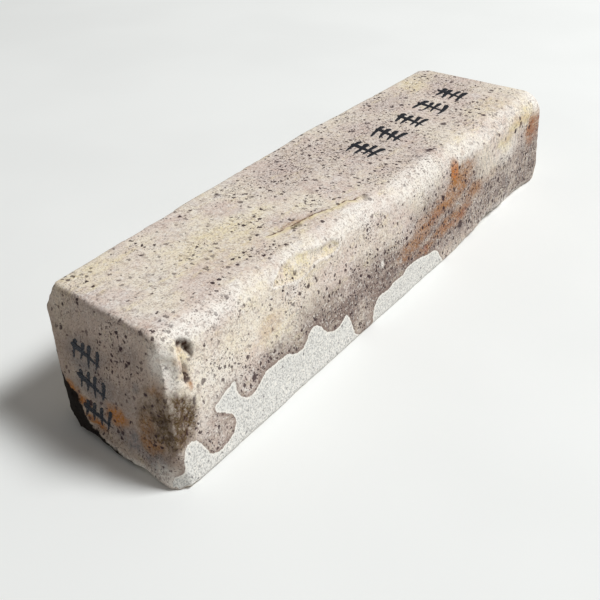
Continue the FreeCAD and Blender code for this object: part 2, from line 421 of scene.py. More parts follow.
# The spall on the ridge: outline in x and z, which runs round the worn ridge.
SPALL_OUTLINE = [
    (-56.5, 30.2), (-53.6, 29.2), (-50.4, 28.2), (-46.8, 27.7), (-42.6, 28.2), (-39.2, 29.4),
    (-36, 28.9), (-31.6, 28.5), (-28.4, 29.6), (-30.6, 31.4), (-36.8, 31.8), (-41, 32.6), (-46, 33.2),
    (-52, 32.4),
]

# Each spot: centre, radii, strength.
OCHRE_SPOTS = [
    (34.6, -22, 27.4, 2.8, 3, 3.8, 1.8), (42.5, -22, 25, 5, 3, 2.2, 0.7), (36.5, -22, 21.8, 8, 3, 3.6, 0.8),
    (27, -22, 19.4, 8, 3, 3.2, 0.8), (17, -22, 17, 8, 3, 2.8, 0.7), (8, -22, 14.8, 7, 3, 2.4, 0.6),
    (1, -22, 12.4, 5, 3, 1.8, 0.45), (47.5, -23, 16.4, 6, 3, 2.2, 0.65), (38, -23, 12.8, 8, 3, 2.4, 0.7),
    (27, -23, 10.8, 8, 3, 2.2, 0.7), (16, -22, 9.8, 7, 3, 1.7, 0.6), (41.5, -21, 31, 1.6, 2.4, 1.3, 0.75),
    (58, -23, 17, 6, 3, 1.6, 0.2), (91.4, -23.5, 23.4, 4.2, 4, 5.4, 1), (82, -23, 29.4, 8, 3, 1.8, 0.3),
    (72, -23, 26.6, 5, 3, 1.8, 0.25), (-96.7, 14, 10.8, 2, 3.4, 1.5, 1.3),
    (-97.8, 10.4, 8.6, 2, 3, 1.3, 1.2), (-99, 5.4, 5, 2, 4, 1.3, 1.3), (-98.4, -1.6, 9.9, 2, 3.8, 2, 1.1),
    (-99.6, -13, 9.2, 3, 3.4, 1.1, 0.6), (-96, -13.6, 24, 2, 2.5, 3, 0.5),
    (-91.2, -17.4, 26.2, 1.4, 2, 3.4, 0.6), (-100, -14, 9, 3, 4, 1.6, 0.5), (-60, -18, 22, 4, 3, 2.4, 0.3),
    (-90.5, -17.6, 22.8, 0.7, 1.6, 1.4, 0.9), (-89.6, -15.6, 29.6, 1, 1.6, 1.6, 0.5),
    (-96.8, -13.4, 21.2, 2, 2.2, 1.8, 0.5), (-98.4, -11.6, 12.4, 2, 2.2, 2.6, 0.35),
    (-90.6, -16.8, 26.2, 0.9, 1.8, 2.8, 0.8),
]
RUST_SPOTS = [
    (92.2, -23.5, 21.5, 4.4, 4, 5.4, 0.6), (96.4, -22, 24, 3, 5, 6, 0.8),
    (14.6, -22.6, 10, 1.3, 2, 1.1, 0.9), (30, -23, 11, 6, 3, 1, 0.4), (22, -22, 17.4, 5, 3, 1.2, 0.4),
    (-33, -7.6, 34.5, 6, 1.1, 2, 0.8), (-92.6, -7.5, 33.4, 1.3, 1.6, 1.3, 0.9), (40, -23, 12, 5, 3, 1, 0.6),
]
YELLOW_SPOTS = [
    (-84, 20, 34, 14, 5, 5, 0.45), (-60, 6, 34.5, 14, 3, 4, 0.4), (-40, 4, 34.5, 12, 3, 4, 0.45),
    (-35, -8, 34.5, 8, 1.3, 3, 0.95), (-20, -11.6, 34.5, 8, 0.9, 3, 0.6),
    (-55, -4.6, 34.5, 10, 1.6, 3, 0.45), (80, 18, 34.5, 10, 5, 4, 0.7), (75, -14, 34.5, 12, 5, 4, 0.4),
    (86, -23, 30.2, 6, 3, 2.8, 1.6), (77, -23, 28.2, 5, 3, 2.8, 1.5), (70, -23, 25.2, 5, 3, 2.6, 1.3),
    (-62, -15, 31, 7, 4, 3, 0.4), (-52, 4, 34.5, 16, 7, 4, 0.6), (-75, -20, 22, 7, 3, 5, 0.25),
    (-58, -20, 20, 8, 3, 5, 0.35), (-90.2, -15.8, 28.8, 1.5, 2.2, 2.8, 1), (-92, -15.4, 28, 2.2, 3, 4, 0.8),
]
MAUVE_SPOTS = [
    (2, 13, 34.5, 26, 10, 6, 0.95), (58, 16, 34.5, 16, 7, 5, 0.9), (24, 6, 34.5, 26, 16, 6, 0.85),
    (18, -13, 34, 18, 7, 5, 0.8), (-52, -1, 34.5, 14, 8, 5, 0.1), (62, -6, 34, 20, 10, 5, 0.5),
    (-14, -19, 26, 30, 5, 7, 0.35), (-78, -22, 10, 22, 4, 9, 0.2), (20, -22, 28, 20, 4, 6, 0.35),
    (88, 10, 34, 12, 14, 4, 0.8),
]
# Where the lower part of the front side is dark.
GLOOM_SPOTS = [
    (-30, -23, 13, 18, 5, 8, 0.9), (-8, -23, 12, 20, 5, 7.5, 0.95), (8, -23, 11, 16, 5, 8, 1),
    (24, -23, 15, 18, 5, 10, 1), (38, -23, 14, 17, 5, 12, 0.95), (56, -23, 8, 16, 5, 9, 0.95),
    (72, -23, 8, 16, 5, 10, 0.9), (90, -23.5, 9, 16, 5, 12, 0.95), (97, -23.5, 15, 6, 5, 5, 0.8),
    (-24, -23, 2, 6, 5, 5, 0.8), (-58, -22, 12.5, 20, 5, 4.5, 0.45), (-86, -22, 7, 6, 4, 5, 0.35),
    (-42, -23, 16, 12, 5, 5, 0.55),
]
SLATE_SPOTS = [
    (-95, 10, 20.5, 3, 6.5, 4.5, 0.75), (-96.6, 5.6, 14, 3, 6.5, 4.5, 0.75),
    (-98.4, 3.5, 8.4, 3, 5, 3, 0.5), (-99.8, -8.5, 6.6, 3, 8, 2.4, 0.9),
    (-100.8, -15.5, 4.8, 3, 6, 2.8, 0.85), (-96.2, -7.6, 19.4, 2, 1.5, 1.6, 0.8),
    (-98, -4, 15, 3, 4, 4, 0.35), (-94.5, -4, 26, 3, 4, 3, 0.3),
]
OLIVE_SPOTS = [
    (-96.8, -17.5, 17.5, 5, 5, 5, 1), (-98.4, -17.5, 13, 4, 5, 4.4, 1), (-96, -13.8, 20, 3, 4.2, 3.4, 0.5),
    (-98.2, -20, 11.8, 3, 3.4, 3.6, 1), (-98.2, -12.8, 14, 3, 4.4, 4.4, 0.85),
    (-99.4, -14, 9, 3, 4, 2.4, 0.7), (-97.4, -10.4, 18.4, 3, 3, 3, 0.25),
    (-94.6, -18.6, 17.2, 3.4, 2.6, 4.2, 1), (-96.8, -20.6, 12.4, 3, 2.4, 3.2, 1),
    (-95, -19.6, 17.6, 3, 3, 4, 1.4), (-95.4, -20.6, 14.2, 2.8, 3, 3.2, 1.4),
    (-97.4, -21.4, 11.6, 2.2, 3, 2.2, 1.2),
]
# Worn white stone, with painted highlight along the ridge, at both of its front corners and on the knocked
# facet of the marked end.
CHALK_AND_HIGHLIGHT_SPOTS = [
    (-86, -15.5, 33.4, 9, 3.6, 2.6, 0.9), (-70, -15.6, 33.4, 10, 3.2, 2.2, 0.6),
    (-94.6, -15.6, 28, 3.8, 4.3, 5.4, 0.8), (-94.4, -17, 24.8, 2.8, 3.4, 2, 0.7),
    (96, -21.5, 32, 4.5, 4, 4, 1), (-100.5, -12, 1, 3, 10, 1.1, 0.9), (-101.5, -20, 2.6, 3, 5, 3, 0.6),
    (-100, 1, 1, 3, 7, 0.9, 0.6), (60, -23, 3, 9, 3, 2, 0.6), (-10.6, -22, 15.3, 1.2, 2, 1.1, 1),
    (-0.6, -22.9, 12.1, 0.7, 2, 0.8, 0.9), (68, -24, 2.2, 9, 4, 1.6, 0.9), (86, -24, 1.8, 6, 4, 1.2, 0.7),
    (-81, -20.5, 18, 8, 4, 8, 0.4), (14, -19, 31, 16, 4, 4, 0.6), (46, -21, 31.5, 12, 3, 3, 0.6),
    (-18, -17, 32, 12, 3, 3, 0.6), (-21.5, -23, 1.8, 0.9, 2, 0.8, 0.8), (72, -23, 21, 8, 3, 3.4, 0.5),
]
# The bottoms of the broken hollows and the rough front corner of the marked end: dark earth with painted
# shade.
UMBER_AND_SHADE_SPOTS = [
    (-88.9, -15, 31.6, 1.2, 1.4, 0.7, 1), (-87.6, -15.6, 30.6, 0.9, 1.4, 1.1, 1),
    (-87, -16.2, 29.2, 0.8, 1.6, 1.4, 1), (-87, -16.8, 27.9, 0.6, 1.4, 0.9, 1),
    (-90.3, -16.8, 26, 0.8, 1.8, 1.1, 1), (-90.4, -17.2, 24.4, 0.6, 1.6, 1.2, 0.7),
    (-92.6, -7.2, 33.3, 0.7, 0.9, 0.8, 0.9), (-97.6, -16.8, 16.4, 3, 1.2, 1.4, 0.6),
    (-97.8, -19.6, 13.2, 3, 1, 1.2, 0.6), (-94.8, -19.6, 17, 2.6, 2.6, 3.8, 0.45),
    (-95.8, -20.8, 13.4, 2.4, 2.6, 2.6, 0.45), (-97.4, -13.6, 15.8, 3, 1, 1, 0.5),
    (-33.6, -9, 34.5, 0.9, 0.7, 0.7, 0.6),
]
# Hollows broken or worn into the stone: centre, radii, depth.
HOLLOWS = [
    (-95.6, -15.4, 26.4, 3, 4.2, 4.2, 1), (-93.4, -19.8, 16, 2.6, 3, 4.4, 0.7),
    (-89.8, -16.2, 29.2, 2.4, 3, 3, 1), (-88.9, -15.2, 31.5, 1.5, 1.6, 1, 0.8),
    (-87.7, -16, 30.5, 1.2, 1.6, 1.4, 1.2), (-87.2, -16.6, 29, 1.1, 1.8, 1.7, 1.5),
    (-90.4, -17.4, 25.6, 1.1, 2, 2, 1.5), (-90.5, -18, 23.2, 1, 2, 1.8, 1),
    (-92.6, -7.4, 33.5, 1.2, 1.5, 1.2, 0.6), (-100.4, 5, 0, 2.5, 8, 1.6, 1.3),
    (-101.6, -8, 0, 2.5, 9, 1.4, 1.1), (44, -24.6, 0, 10, 3, 2.2, 0.9), (61, -24.8, 0, 15, 3, 3.2, 1.7),
    (82, -24.8, 0, 13, 3, 3, 1.1), (12, -20, 32, 5, 2.5, 2.5, 0.3), (60, -21.6, 32, 7, 2.5, 2.5, 0.3),
    (-97.4, 12.2, 9.4, 1.5, 3, 1.1, 0.6), (-99.2, 4.4, 4.2, 2, 3.6, 1, 0.6),
    (-97.6, -16.8, 16.2, 1.4, 1.8, 1.6, 0.9), (-98, -13.4, 13, 1.6, 2, 1.4, 0.7),
    (-97.4, -19.4, 12.6, 1.4, 1.4, 1.6, 0.8),
]
ROUGH_SPOTS = [
    (-97, -17, 16, 6, 6, 8, 1), (-99.5, -10, 4, 4, 14, 3, 0.5), (-97, 12, 5, 6, 9, 6, 0.6),
    (-92, -16, 28, 4, 5, 7, 0.3), (99, -22, 12, 5, 8, 12, 0.5), (60, -24, 1, 14, 3, 3.5, 1),
    (84, -24, 2, 12, 3, 3.5, 0.6),
]
# Spots whose outlines wander with the points that warped() pushes about.
LOOSE_SPOTS = {
    "ochre": OCHRE_SPOTS, "rust": RUST_SPOTS, "yellow": YELLOW_SPOTS, "mauve": MAUVE_SPOTS,
    "gloom": GLOOM_SPOTS, "slate": SLATE_SPOTS, "olive": OLIVE_SPOTS,
}
# The vein: how far back it lies at each station along the honing face.
VEIN_STATIONS = [-45.0, -42.8, -34.8, -31.3, -25.6, -22.5, -19.6, -14.6, -12.6, -9.4, -7.0]
VEIN_PLACES = [-5.2, -5.8, -7.5, -8.0, -8.7, -9.6, -11.4, -11.3, -13.0, -13.3, -13.8]
# How far the tide mark reaches from the fresh stone, and where the black stain and painted shade end on the
# back.
TIDE_REACH = 2.6
SOOT_AND_SHADE_BACK = 98.0
FAR_OUTSIDE = 99.0


def stain_fields(points, normals):
    """Every mask that the stone's finish reads, one value to a vertex."""
    x, z = points[:, 0], points[:, 2]
    along_front, across_end = points[:, [0, 2]], points[:, [1, 2]]
    front = smooth_step(-normals[:, 1], 0.35, 0.75)
    marked_end = smooth_step(-normals[:, 0], 0.5, 0.8)
    loose = warped(points, 40)
    fields = {name: patches(loose, spots) for name, spots in LOOSE_SPOTS.items()}
    fields["chalk_and_highlight"] = patches(points + (loose - points) * 0.4, CHALK_AND_HIGHLIGHT_SPOTS)
    fields["umber_and_shade"] = patches(points + (loose - points) * 0.3, UMBER_AND_SHADE_SPOTS)
    fields["gloom"] *= front
    fields["slate"] *= marked_end
    fields["comb"] = front * smooth_step(x, 0, 45)

    fresh = np.full(len(points), -FAR_OUTSIDE)
    for outline in FRESH_OUTLINES:
        fresh = np.maximum(fresh, inside_distance(along_front, rounded_outline(outline)))
    shallow = np.minimum(front, smooth_step(normals[:, 0], -0.9, -0.7))
    fields["fresh"] = np.minimum(fresh, (shallow - 0.5) * 8)
    fields["tide"] = np.exp(np.minimum(fresh, 0) / TIDE_REACH) * front

    # The marked end's browner skin with painted shade: full low down, weaker near the top edge and on the
    # worn white spots.
    fields["end"] = marked_end * (1 - 0.4 * smooth_step(z, 24, 33))
    fields["end"] *= 1 - 0.85 * np.minimum(fields["chalk_and_highlight"], 1)
    # The black stain with painted shade: inside its outline on the marked end, fading away across the back.
    soot_and_shade = inside_distance(across_end, rounded_outline(SOOT_AND_SHADE_OUTLINE))
    fields["soot_and_shade"] = soot_and_shade - (1 - marked_end) * (1 + np.maximum(x + SOOT_AND_SHADE_BACK, 0))

    fields["crest"] = smooth_step(normals[:, 2], 0.15, 0.55) * smooth_step(-normals[:, 1], 0.05, 0.35)
    spall = inside_distance(along_front, rounded_outline(SPALL_OUTLINE))
    fields["spall"] = np.where(-normals[:, 1] > 0.1, spall, -FAR_OUTSIDE)
    fields["vein"] = points[:, 1] - np.interp(x, VEIN_STATIONS, VEIN_PLACES)
    on_vein = smooth_step(x, VEIN_STATIONS[0], VEIN_STATIONS[1])
    on_vein *= smooth_step(x, VEIN_STATIONS[-1], VEIN_STATIONS[-3])
    fields["vein_on"] = on_vein * smooth_step(z, 33, 34)
    return fields


# ---------------- wear

# How far the honing face's unevenness may rise above the sawn block, in millimetres.
TOP_ALLOWANCE = 0.1
# Heights of the unevenness, in millimetres.
SAW_RIPPLE = 0.1
RIDGE_WEAR = 0.22
ROUGH_HEIGHT = 0.6
SOOT_AND_SHADE_HEIGHT = 0.5
FOOT_WEAR = 0.1
EDGE_CHIPS = 0.9
# How deep the spall is, how rough its bed is, and how high the lip round it stands.
SPALL_DEPTH = 0.8
SPALL_ROUGHNESS = 0.6
SPALL_LIP = 0.2
TRIANGLE_LIMIT = 200000


def worn_points(points, normals, fields, sizes):
    """The even mesh's points with saw marks, wear, chips and hollows worked into them."""
    top = smooth_step(normals[:, 2], 0.75, 0.97)
    foot = smooth_step(-normals[:, 2], 0.8, 0.97)
    sides = 1 - top - foot
    edge = 1 - smooth_step(np.abs(normals).max(axis=1), 0.8, 0.985)
    ridge = edge * fields["crest"]
    rough = patches(warped(points, 70), ROUGH_SPOTS)
    soot_and_shade = smooth_step(fields["soot_and_shade"], -0.2, 1.6)

    # where it shows, its height, the size of its bumps, their layers and the seed
    unevenness = (
        (sides, sizes.side_relief / MM, 26.0, 3, 1), (sides, SAW_RIPPLE, 3.4, 3, 5),
        (top, sizes.top_relief / MM, 22.0, 3, 9), (ridge, RIDGE_WEAR, 9.0, 3, 13),
        (rough, ROUGH_HEIGHT, 4.0, 4, 21), (soot_and_shade, SOOT_AND_SHADE_HEIGHT, 5.0, 4, 23),
        (foot, -FOOT_WEAR, 5.0, 2, 25),
    )
    lift = -ROUGH_HEIGHT / 4 * rough - FOOT_WEAR * foot
    for place, height, size, layers, seed in unevenness:
        lift += place * height * layered_noise(points, size, layers, seed)
    lift -= (edge - ridge) * EDGE_CHIPS * np.maximum(layered_noise(points, 5.0, 3, 17) - 0.2, 0)
    spall = fields["spall"] + 0.5 * smooth_noise(points, 2.0, 29)
    bed = SPALL_DEPTH + SPALL_ROUGHNESS * layered_noise(points, 4.0, 3, 31)
    lift -= smooth_step(spall, -0.1, 1.1) * bed
    lift += SPALL_LIP * smooth_step(spall, -1.6, -0.5) * smooth_step(spall, 0.3, -0.3)
    loose = points + (warped(points, 90) - points) * 0.5
    for hollow in HOLLOWS:
        lift -= hollow[6] * smooth_step(spot_reach(loose, hollow), 1.15, 0.45)
    moved = points + normals * lift[:, None]
    moved[:, 2] = np.clip(moved[:, 2], BLOCK_LOW.z / MM, BLOCK_HIGH.z / MM + TOP_ALLOWANCE)
    return moved


def mesh_arrays(mesh):
    """The mesh's points and vertex normals as two arrays."""
    count = len(mesh.vertices)
    points = np.empty(count * 3)
    normals = np.empty(count * 3)
    mesh.vertices.foreach_get("co", points)
    mesh.vertex_normals.foreach_get("vector", normals)
    return points.reshape(-1, 3), normals.reshape(-1, 3)


def add_fields(mesh, fields):
    for name, values in fields.items():
        attribute = mesh.attributes.new(name, "FLOAT", "POINT")
        attribute.data.foreach_set("value", values.astype(np.float32))


# ---------------- materials

class Finish:
    """One material, and short ways to add and join its nodes."""

    def __init__(self, name):
        self.material = bpy.data.materials.new(name)
        self.material.use_nodes = True
        self.tree = self.material.node_tree
        self.tree.nodes.clear()

    def add(self, kind, inputs=(), **settings):
        node = self.tree.nodes.new("ShaderNode" + kind)
        for name, value in settings.items():
            setattr(node, name, value)
        for name, value in dict(inputs).items():
            self.feed(node.inputs[name], value)
        return node

    def feed(self, socket, value):
        if isinstance(value, bpy.types.NodeSocket):
            self.tree.links.new(value, socket)
        else:
            socket.default_value = value

    def millimetres(self):
        place = self.add("TexCoord").outputs["Object"]
        return self.add("Mapping", {"Vector": place, "Scale": (1 / MM,) * 3}).outputs["Vector"]

    def value(self, name):
        return self.add("Attribute", attribute_name=name).outputs["Fac"]

    def math(self, operation, first, second=0.0, clamp=False):
        return self.add("Math", {0: first, 1: second}, operation=operation, use_clamp=clamp).outputs[0]

    def plus(self, first, second):
        return self.math("ADD", first, second)

    def times(self, first, *others, clamp=False):
        for other in others:
            first = self.math("MULTIPLY", first, other, clamp)
        return first

    def rest(self, taken, whole=1.0):
        """What is left of the whole."""
        return self.math("SUBTRACT", whole, taken)

    def most(self, first, second):
        return self.math("MAXIMUM", first, second)

    def step(self, value, low, high, to_low=0.0, to_high=1.0):
        inputs = {"Value": value, "From Min": low, "From Max": high, "To Min": to_low, "To Max": to_high}
        return self.add("MapRange", inputs, interpolation_type="SMOOTHSTEP").outputs["Result"]

    def mix(self, factor, first, second):
        """The first colour turning into the second: sockets 6 and 7 are the node's colours."""
        return self.add("Mix", {0: factor, 6: first, 7: second}, data_type="RGBA").outputs[2]

    def noise(self, place, size, detail=2.0, roughness=0.5):
        """Noise whose bumps are size apart, in the units of place."""
        inputs = {"Vector": place, "Scale": 1 / size, "Detail": detail, "Roughness": roughness}
        return self.add("TexNoise", inputs).outputs["Fac"]

    def grains(self, place, spacing, smallest, largest, rarity):
        """A mask of round grains: rarity is the share of cells that hold none."""
        cells = self.add("TexVoronoi", {"Vector": place, "Scale": 1 / spacing})
        chance = self.add("SeparateColor", {"Color": cells.outputs["Color"]}).outputs["Red"]
        radius = self.add("MapRange", {
            "Value": chance, "From Min": rarity, "From Max": 1.0,
            "To Min": smallest / spacing, "To Max": largest / spacing}).outputs["Result"]
        held = self.math("GREATER_THAN", chance, rarity)
        depth = self.math("SUBTRACT", radius, cells.outputs["Distance"])
        return self.math("MULTIPLY", self.step(depth, -0.04, 0.05), held)

    def surface(self, inputs, height, bump_distance):
        bump = self.add("Bump", {"Strength": 1.0, "Distance": bump_distance, "Height": height})
        shader = self.add("BsdfPrincipled", {**inputs, "Normal": bump.outputs["Normal"]})
        output = self.add("OutputMaterial")
        self.tree.links.new(shader.outputs["BSDF"], output.inputs["Surface"])
        return self.material


def solid(colour_value):
    return (*colour_value, 1.0)


# The noise that the stone's finish reads, by what it is laid on: the size of its bumps in
# millimetres, how many finer layers it has, and their weight if it isn't a half.
STONE_NOISE = {
    "place": {
        "reaches": (19.0, 1.0), "clouds": (17.0, 3.0), "crowds": (11.0, 2.0), "puffs": (6.0, 3.0, 0.6),
        "gaps": (5.0, 2.0), "mottle": (2.6, 3.0, 0.65), "earth": (2.0, 4.0, 0.75),
        "bruise": (1.7, 3.0, 0.7), "wander": (1.6, 3.0), "ragged": (1.0, 2.0, 0.6),
        "grain": (0.85, 2.0, 0.75), "salt": (0.6, 1.0), "dust": (0.45, 1.0),
    },
    "bedded": {"veils": (2.6, 3.0, 0.6), "drifts": (3.4, 4.0, 0.65), "drawn": (1.7, 4.0, 0.7)},
    "sawn": {"saw": (1.5, 3.0, 0.7), "teeth": (0.7, 2.0, 0.7)},
}
# The grains: spacing, smallest and largest radius in millimetres, and the share of places
# that hold none.
STONE_GRAINS = {
    "blots": (7.5, 0.7, 1.5, 0.60), "large": (3.9, 0.36, 0.90, 0.48), "small": (1.9, 0.26, 0.60, 0.33),
    "fine": (1.0, 0.18, 0.36, 0.35), "grey": (1.5, 0.14, 0.36, 0.45),
}
# How far the grains are pushed about, in millimetres, so that they aren't round.
STONE_SHAKE = 1.3
# How high the bumps are, in metres.
STONE_BUMP = 0.00016
INK_BUMP = 0.00005
SHEET_BUMP = 0.0001


class StoneFinish(Finish):
    """The stone's material, with the colours, noises and grains that its coats are laid with."""

    def __init__(self, colours):
        super().__init__("natural_stone")
        self.colours = colours
        place = self.millimetres()
        bedded = self.add("Mapping", {"Vector": place, "Scale": (0.3, 1.0, 1.0), "Rotation": (0, 0.12, 0)})
        sawn = self.add("Mapping", {"Vector": place, "Scale": (1.0, 1.0, 0.22)})
        laid_on = {"place": place, "bedded": bedded.outputs["Vector"], "sawn": sawn.outputs["Vector"]}
        self.noises = {}
        for where, noises in STONE_NOISE.items():
            for name, bumps in noises.items():
                self.noises[name] = self.noise(laid_on[where], *bumps)
        shiver = self.add("TexNoise", {"Vector": place, "Scale": 1.1, "Detail": 2.0}).outputs["Color"]
        push = self.add("VectorMath", {0: shiver, 1: (0.5,) * 3}, operation="SUBTRACT").outputs[0]
        push = self.add("VectorMath", {0: push, "Scale": STONE_SHAKE}, operation="SCALE").outputs[0]
        self.shaken = self.add("VectorMath", {0: place, 1: push}, operation="ADD").outputs[0]

    def tint(self, name):
        return solid(getattr(self.colours, name))

    def run(self, name, *limits):
        """How far the named noise has run between its limits."""
        return self.step(self.noises[name], *limits)

    def wobble(self, field, name, amount):
        """A distance field whose outline the named noise moves by up to half the amount."""
        push = self.times(self.math("SUBTRACT", self.noises[name], 0.5), amount)
        return self.plus(self.value(field), push)

    def scatter(self, name):
        return self.grains(self.shaken, *STONE_GRAINS[name])

    def paint(self, name, *masks, clamp=False):
        """Lays the named colour over the skin where every mask lets it. Returns where."""
        mask = self.times(*masks, clamp=clamp)
        self.skin = self.mix(mask, self.skin, self.tint(name))
        return mask

    def coat(self, name, field, *broken, clamp=False):
        """Paints one of the mesh's fields, or all over, broken up by a noise. Returns where."""
        where = [self.value(field)] if field else []
        return self.paint(name, *where, self.run(*broken), clamp=clamp)


def lay_skin(f):
    """Cream, blush and lavender clouds with yellow wisps along the bedding, a painted highlight along the
    worn ridge, and the spall.
    """
    f.skin = f.mix(f.run("clouds", 0.40, 0.62), f.tint("cream"), f.tint("blush"))
    f.coat("lavender", None, "puffs", 0.50, 0.72, 0.0, 0.6)
    f.coat("yellow", None, "veils", 0.55, 0.72, 0.0, 0.5)
    f.coat("mauve", "mauve", "mottle", 0.3, 0.65, 0.25, 0.85)
    f.coat("yellow", "yellow", "veils", 0.30, 0.6, 0.25, 1.0)
    f.coat("chalk_and_highlight", None, "mottle", 0.35, 0.7, 0.0, 0.35)
    # Painted highlight along the worn ridge.
    f.coat("chalk_and_highlight", "crest", "puffs", 0.35, 0.65, 0.0, 0.6)
    spall = f.wobble("spall", "mottle", 1.2)
    f.paint("yellow", f.step(spall, -0.5, 1.0), f.run("mottle", 0.40, 0.62, 0.05, 0.75))
    f.paint("chalk_and_highlight", f.step(spall, -0.9, -0.3), f.step(spall, 0.2, -0.2, 0.0, 0.55))


def lay_gloom(f):
    """The dark lower part of the front side, and the saw's marks. Returns how dark it is."""
    dusk = f.plus(f.value("gloom"), f.times(f.value("tide"), 0.45))
    dusk = f.paint("tide", dusk, f.run("drifts", 0.28, 0.58, 0.45, 1.0), clamp=True)
    f.coat("slate", "gloom", "saw", 0.48, 0.68, 0.0, 0.6)
    f.coat("slate", "comb", "teeth", 0.48, 0.66, 0.0, 0.5)
    f.coat("cream", "comb", "teeth", 0.50, 0.34, 0.0, 0.4)
    return dusk


def lay_stains(f):
    """The marked end's weathering with painted shade, earth with dark pits partly painted shade, iron
    stains, worn white edges with painted highlight. Returns the deep stains.
    """
    # The marked end's browner skin, with painted shade deepening below its top edge.
    f.coat("weather_and_shade", "end", "puffs", 0.25, 0.7, 0.55, 0.9)
    f.coat("slate", "slate", "mottle", 0.3, 0.6, 0.35, 1.0)
    olive = f.coat("olive", "olive", "earth", 0.32, 0.55, 0.3, 1.0)
    # Dark pits in the earth patches, partly painted shade.
    f.coat("umber_and_shade", "olive", "earth", 0.50, 0.64, 0.0, 0.7)
    ochre = f.coat("ochre", "ochre", "drawn", 0.30, 0.55, 0.35, 1.1, clamp=True)
    f.coat("rust", "rust", "drawn", 0.32, 0.58, 0.3, 1.1, clamp=True)
    f.paint("amber", f.step(f.value("ochre"), 0.9, 1.5, 0.0, 0.75))
    # Worn white stone, and painted highlight on the ridge and the knocked facet.
    f.coat("chalk_and_highlight", "chalk_and_highlight", "mottle", 0.2, 0.55, 0.35, 1.0)
    return f.most(ochre, olive)


def lay_pepper(f, crowd, stained):
    """Salt and pepper all over: more pepper where it crowds, less salt on the stains."""
    f.paint("speck", f.run("dust", 0.52, 0.66), f.step(crowd, 0.0, 0.9, 0.35, 0.9))
    clean = f.times(f.rest(f.times(f.value("end"), 0.75)), f.rest(f.times(stained, 0.9)))
    f.paint("chalk_and_highlight", f.run("salt", 0.55, 0.68, 0.0, 0.5), clean)
    f.coat("mauve", None, "grain", 0.42, 0.66, 0.0, 0.35)
    f.coat("tide", None, "bruise", 0.52, 0.70, 0.0, 0.40)


def lay_grains(f, crowd):
    """The dark grains, in four sizes. Returns where they are."""
    large = f.times(f.scatter("large"), f.run("reaches", 0.38, 0.52, 0.3, 1.0))
    small = f.times(f.scatter("small"), f.step(crowd, 0.0, 0.30, 0.65, 1.0))
    fine = f.times(f.scatter("fine"), f.step(crowd, 0.05, 0.50, 0.15, 1.0))
    blots = f.times(f.scatter("blots"), f.run("mottle", 0.44, 0.5, 0.0, 0.9))
    specks = f.most(f.most(small, large), f.most(fine, blots))
    hidden = f.times(f.most(f.value("chalk_and_highlight"), f.value("crest")), 0.38)
    return f.paint("speck", specks, f.rest(hidden, 0.95))


def lay_vein(f):
    """The dark line across the honing face with its yellow shore, and the hollows' bottoms in dark earth
    with painted shade.
    """
    off_vein = f.wobble("vein", "wander", 1.3)
    shore = f.times(f.step(off_vein, -2.4, -0.2, 0.0, 0.8), f.step(off_vein, 0.35, 0.0))
    f.paint("yellow", shore, f.run("mottle", 0.38, 0.6, 0.3, 1.0), f.value("vein_on"))
    line = f.times(f.step(f.math("ABSOLUTE", off_vein), 0.40, 0.14, 0.0, 0.9), f.value("vein_on"))
    f.paint("vein", line, f.run("gaps", 0.42, 0.52, 0.15, 1.0), f.run("grain", 0.38, 0.52, 0.35, 1.0))
    # Dark earth with painted shade in the hollows' bottoms and at the rough front corner.
    f.paint("umber_and_shade", f.value("umber_and_shade"))


def lay_fresh(f):
    """Fresh stone, salt and pepper with a white rim along the stain's front, and the black stain with
    painted shade at the broken foot.
    """
    bare = f.wobble("fresh", "ragged", 0.8)
    f.paint("tide", f.step(bare, -1.1, -0.1), 0.5)
    weathered = f.skin
    f.skin = f.mix(f.run("dust", 0.45, 0.62, 0.0, 0.5), f.tint("fresh"), f.tint("fresh_grain"))
    f.paint("fresh_grain", f.scatter("grey"))
    f.coat("chalk_and_highlight", None, "salt", 0.54, 0.68, 0.0, 0.75)
    f.paint("chalk_and_highlight", f.step(bare, 0.8, 0.15, 0.0, 0.65))
    f.skin = f.mix(f.step(bare, -0.06, 0.10), weathered, f.skin)
    # Near black: a dark stain with painted shade of the broken foot's undercut and of the contact gap along
    # the foot.
    f.paint("soot_and_shade", f.step(f.wobble("soot_and_shade", "earth", 2.4), -0.1, 0.45, 0.0, 0.97))


def stone_finish(colours):
    """Weathered tuff, coloured from its skin outwards, one stain over the next."""
    f = StoneFinish(colours)
    lay_skin(f)
    dusk = lay_gloom(f)
    stained = lay_stains(f)
    crowd = f.plus(f.times(f.value("mauve"), 0.55), f.times(dusk, 0.65))
    crowd = f.plus(crowd, f.run("crowds", 0.45, 0.68, 0.0, 0.4))
    lay_pepper(f, crowd, stained)
    specks = lay_grains(f, crowd)
    lay_vein(f)
    lay_fresh(f)
    height = f.plus(f.times(f.noises["grain"], 0.8), f.times(f.noises["mottle"], 0.7))
    height = f.plus(height, f.times(specks, -0.5))
    rough = f.run("grain", 0.3, 0.7, 0.72, 0.9)
    inputs = {"Base Color": f.skin, "Roughness": rough, "Specular IOR Level": 0.15}
    return f.surface(inputs, height, STONE_BUMP)


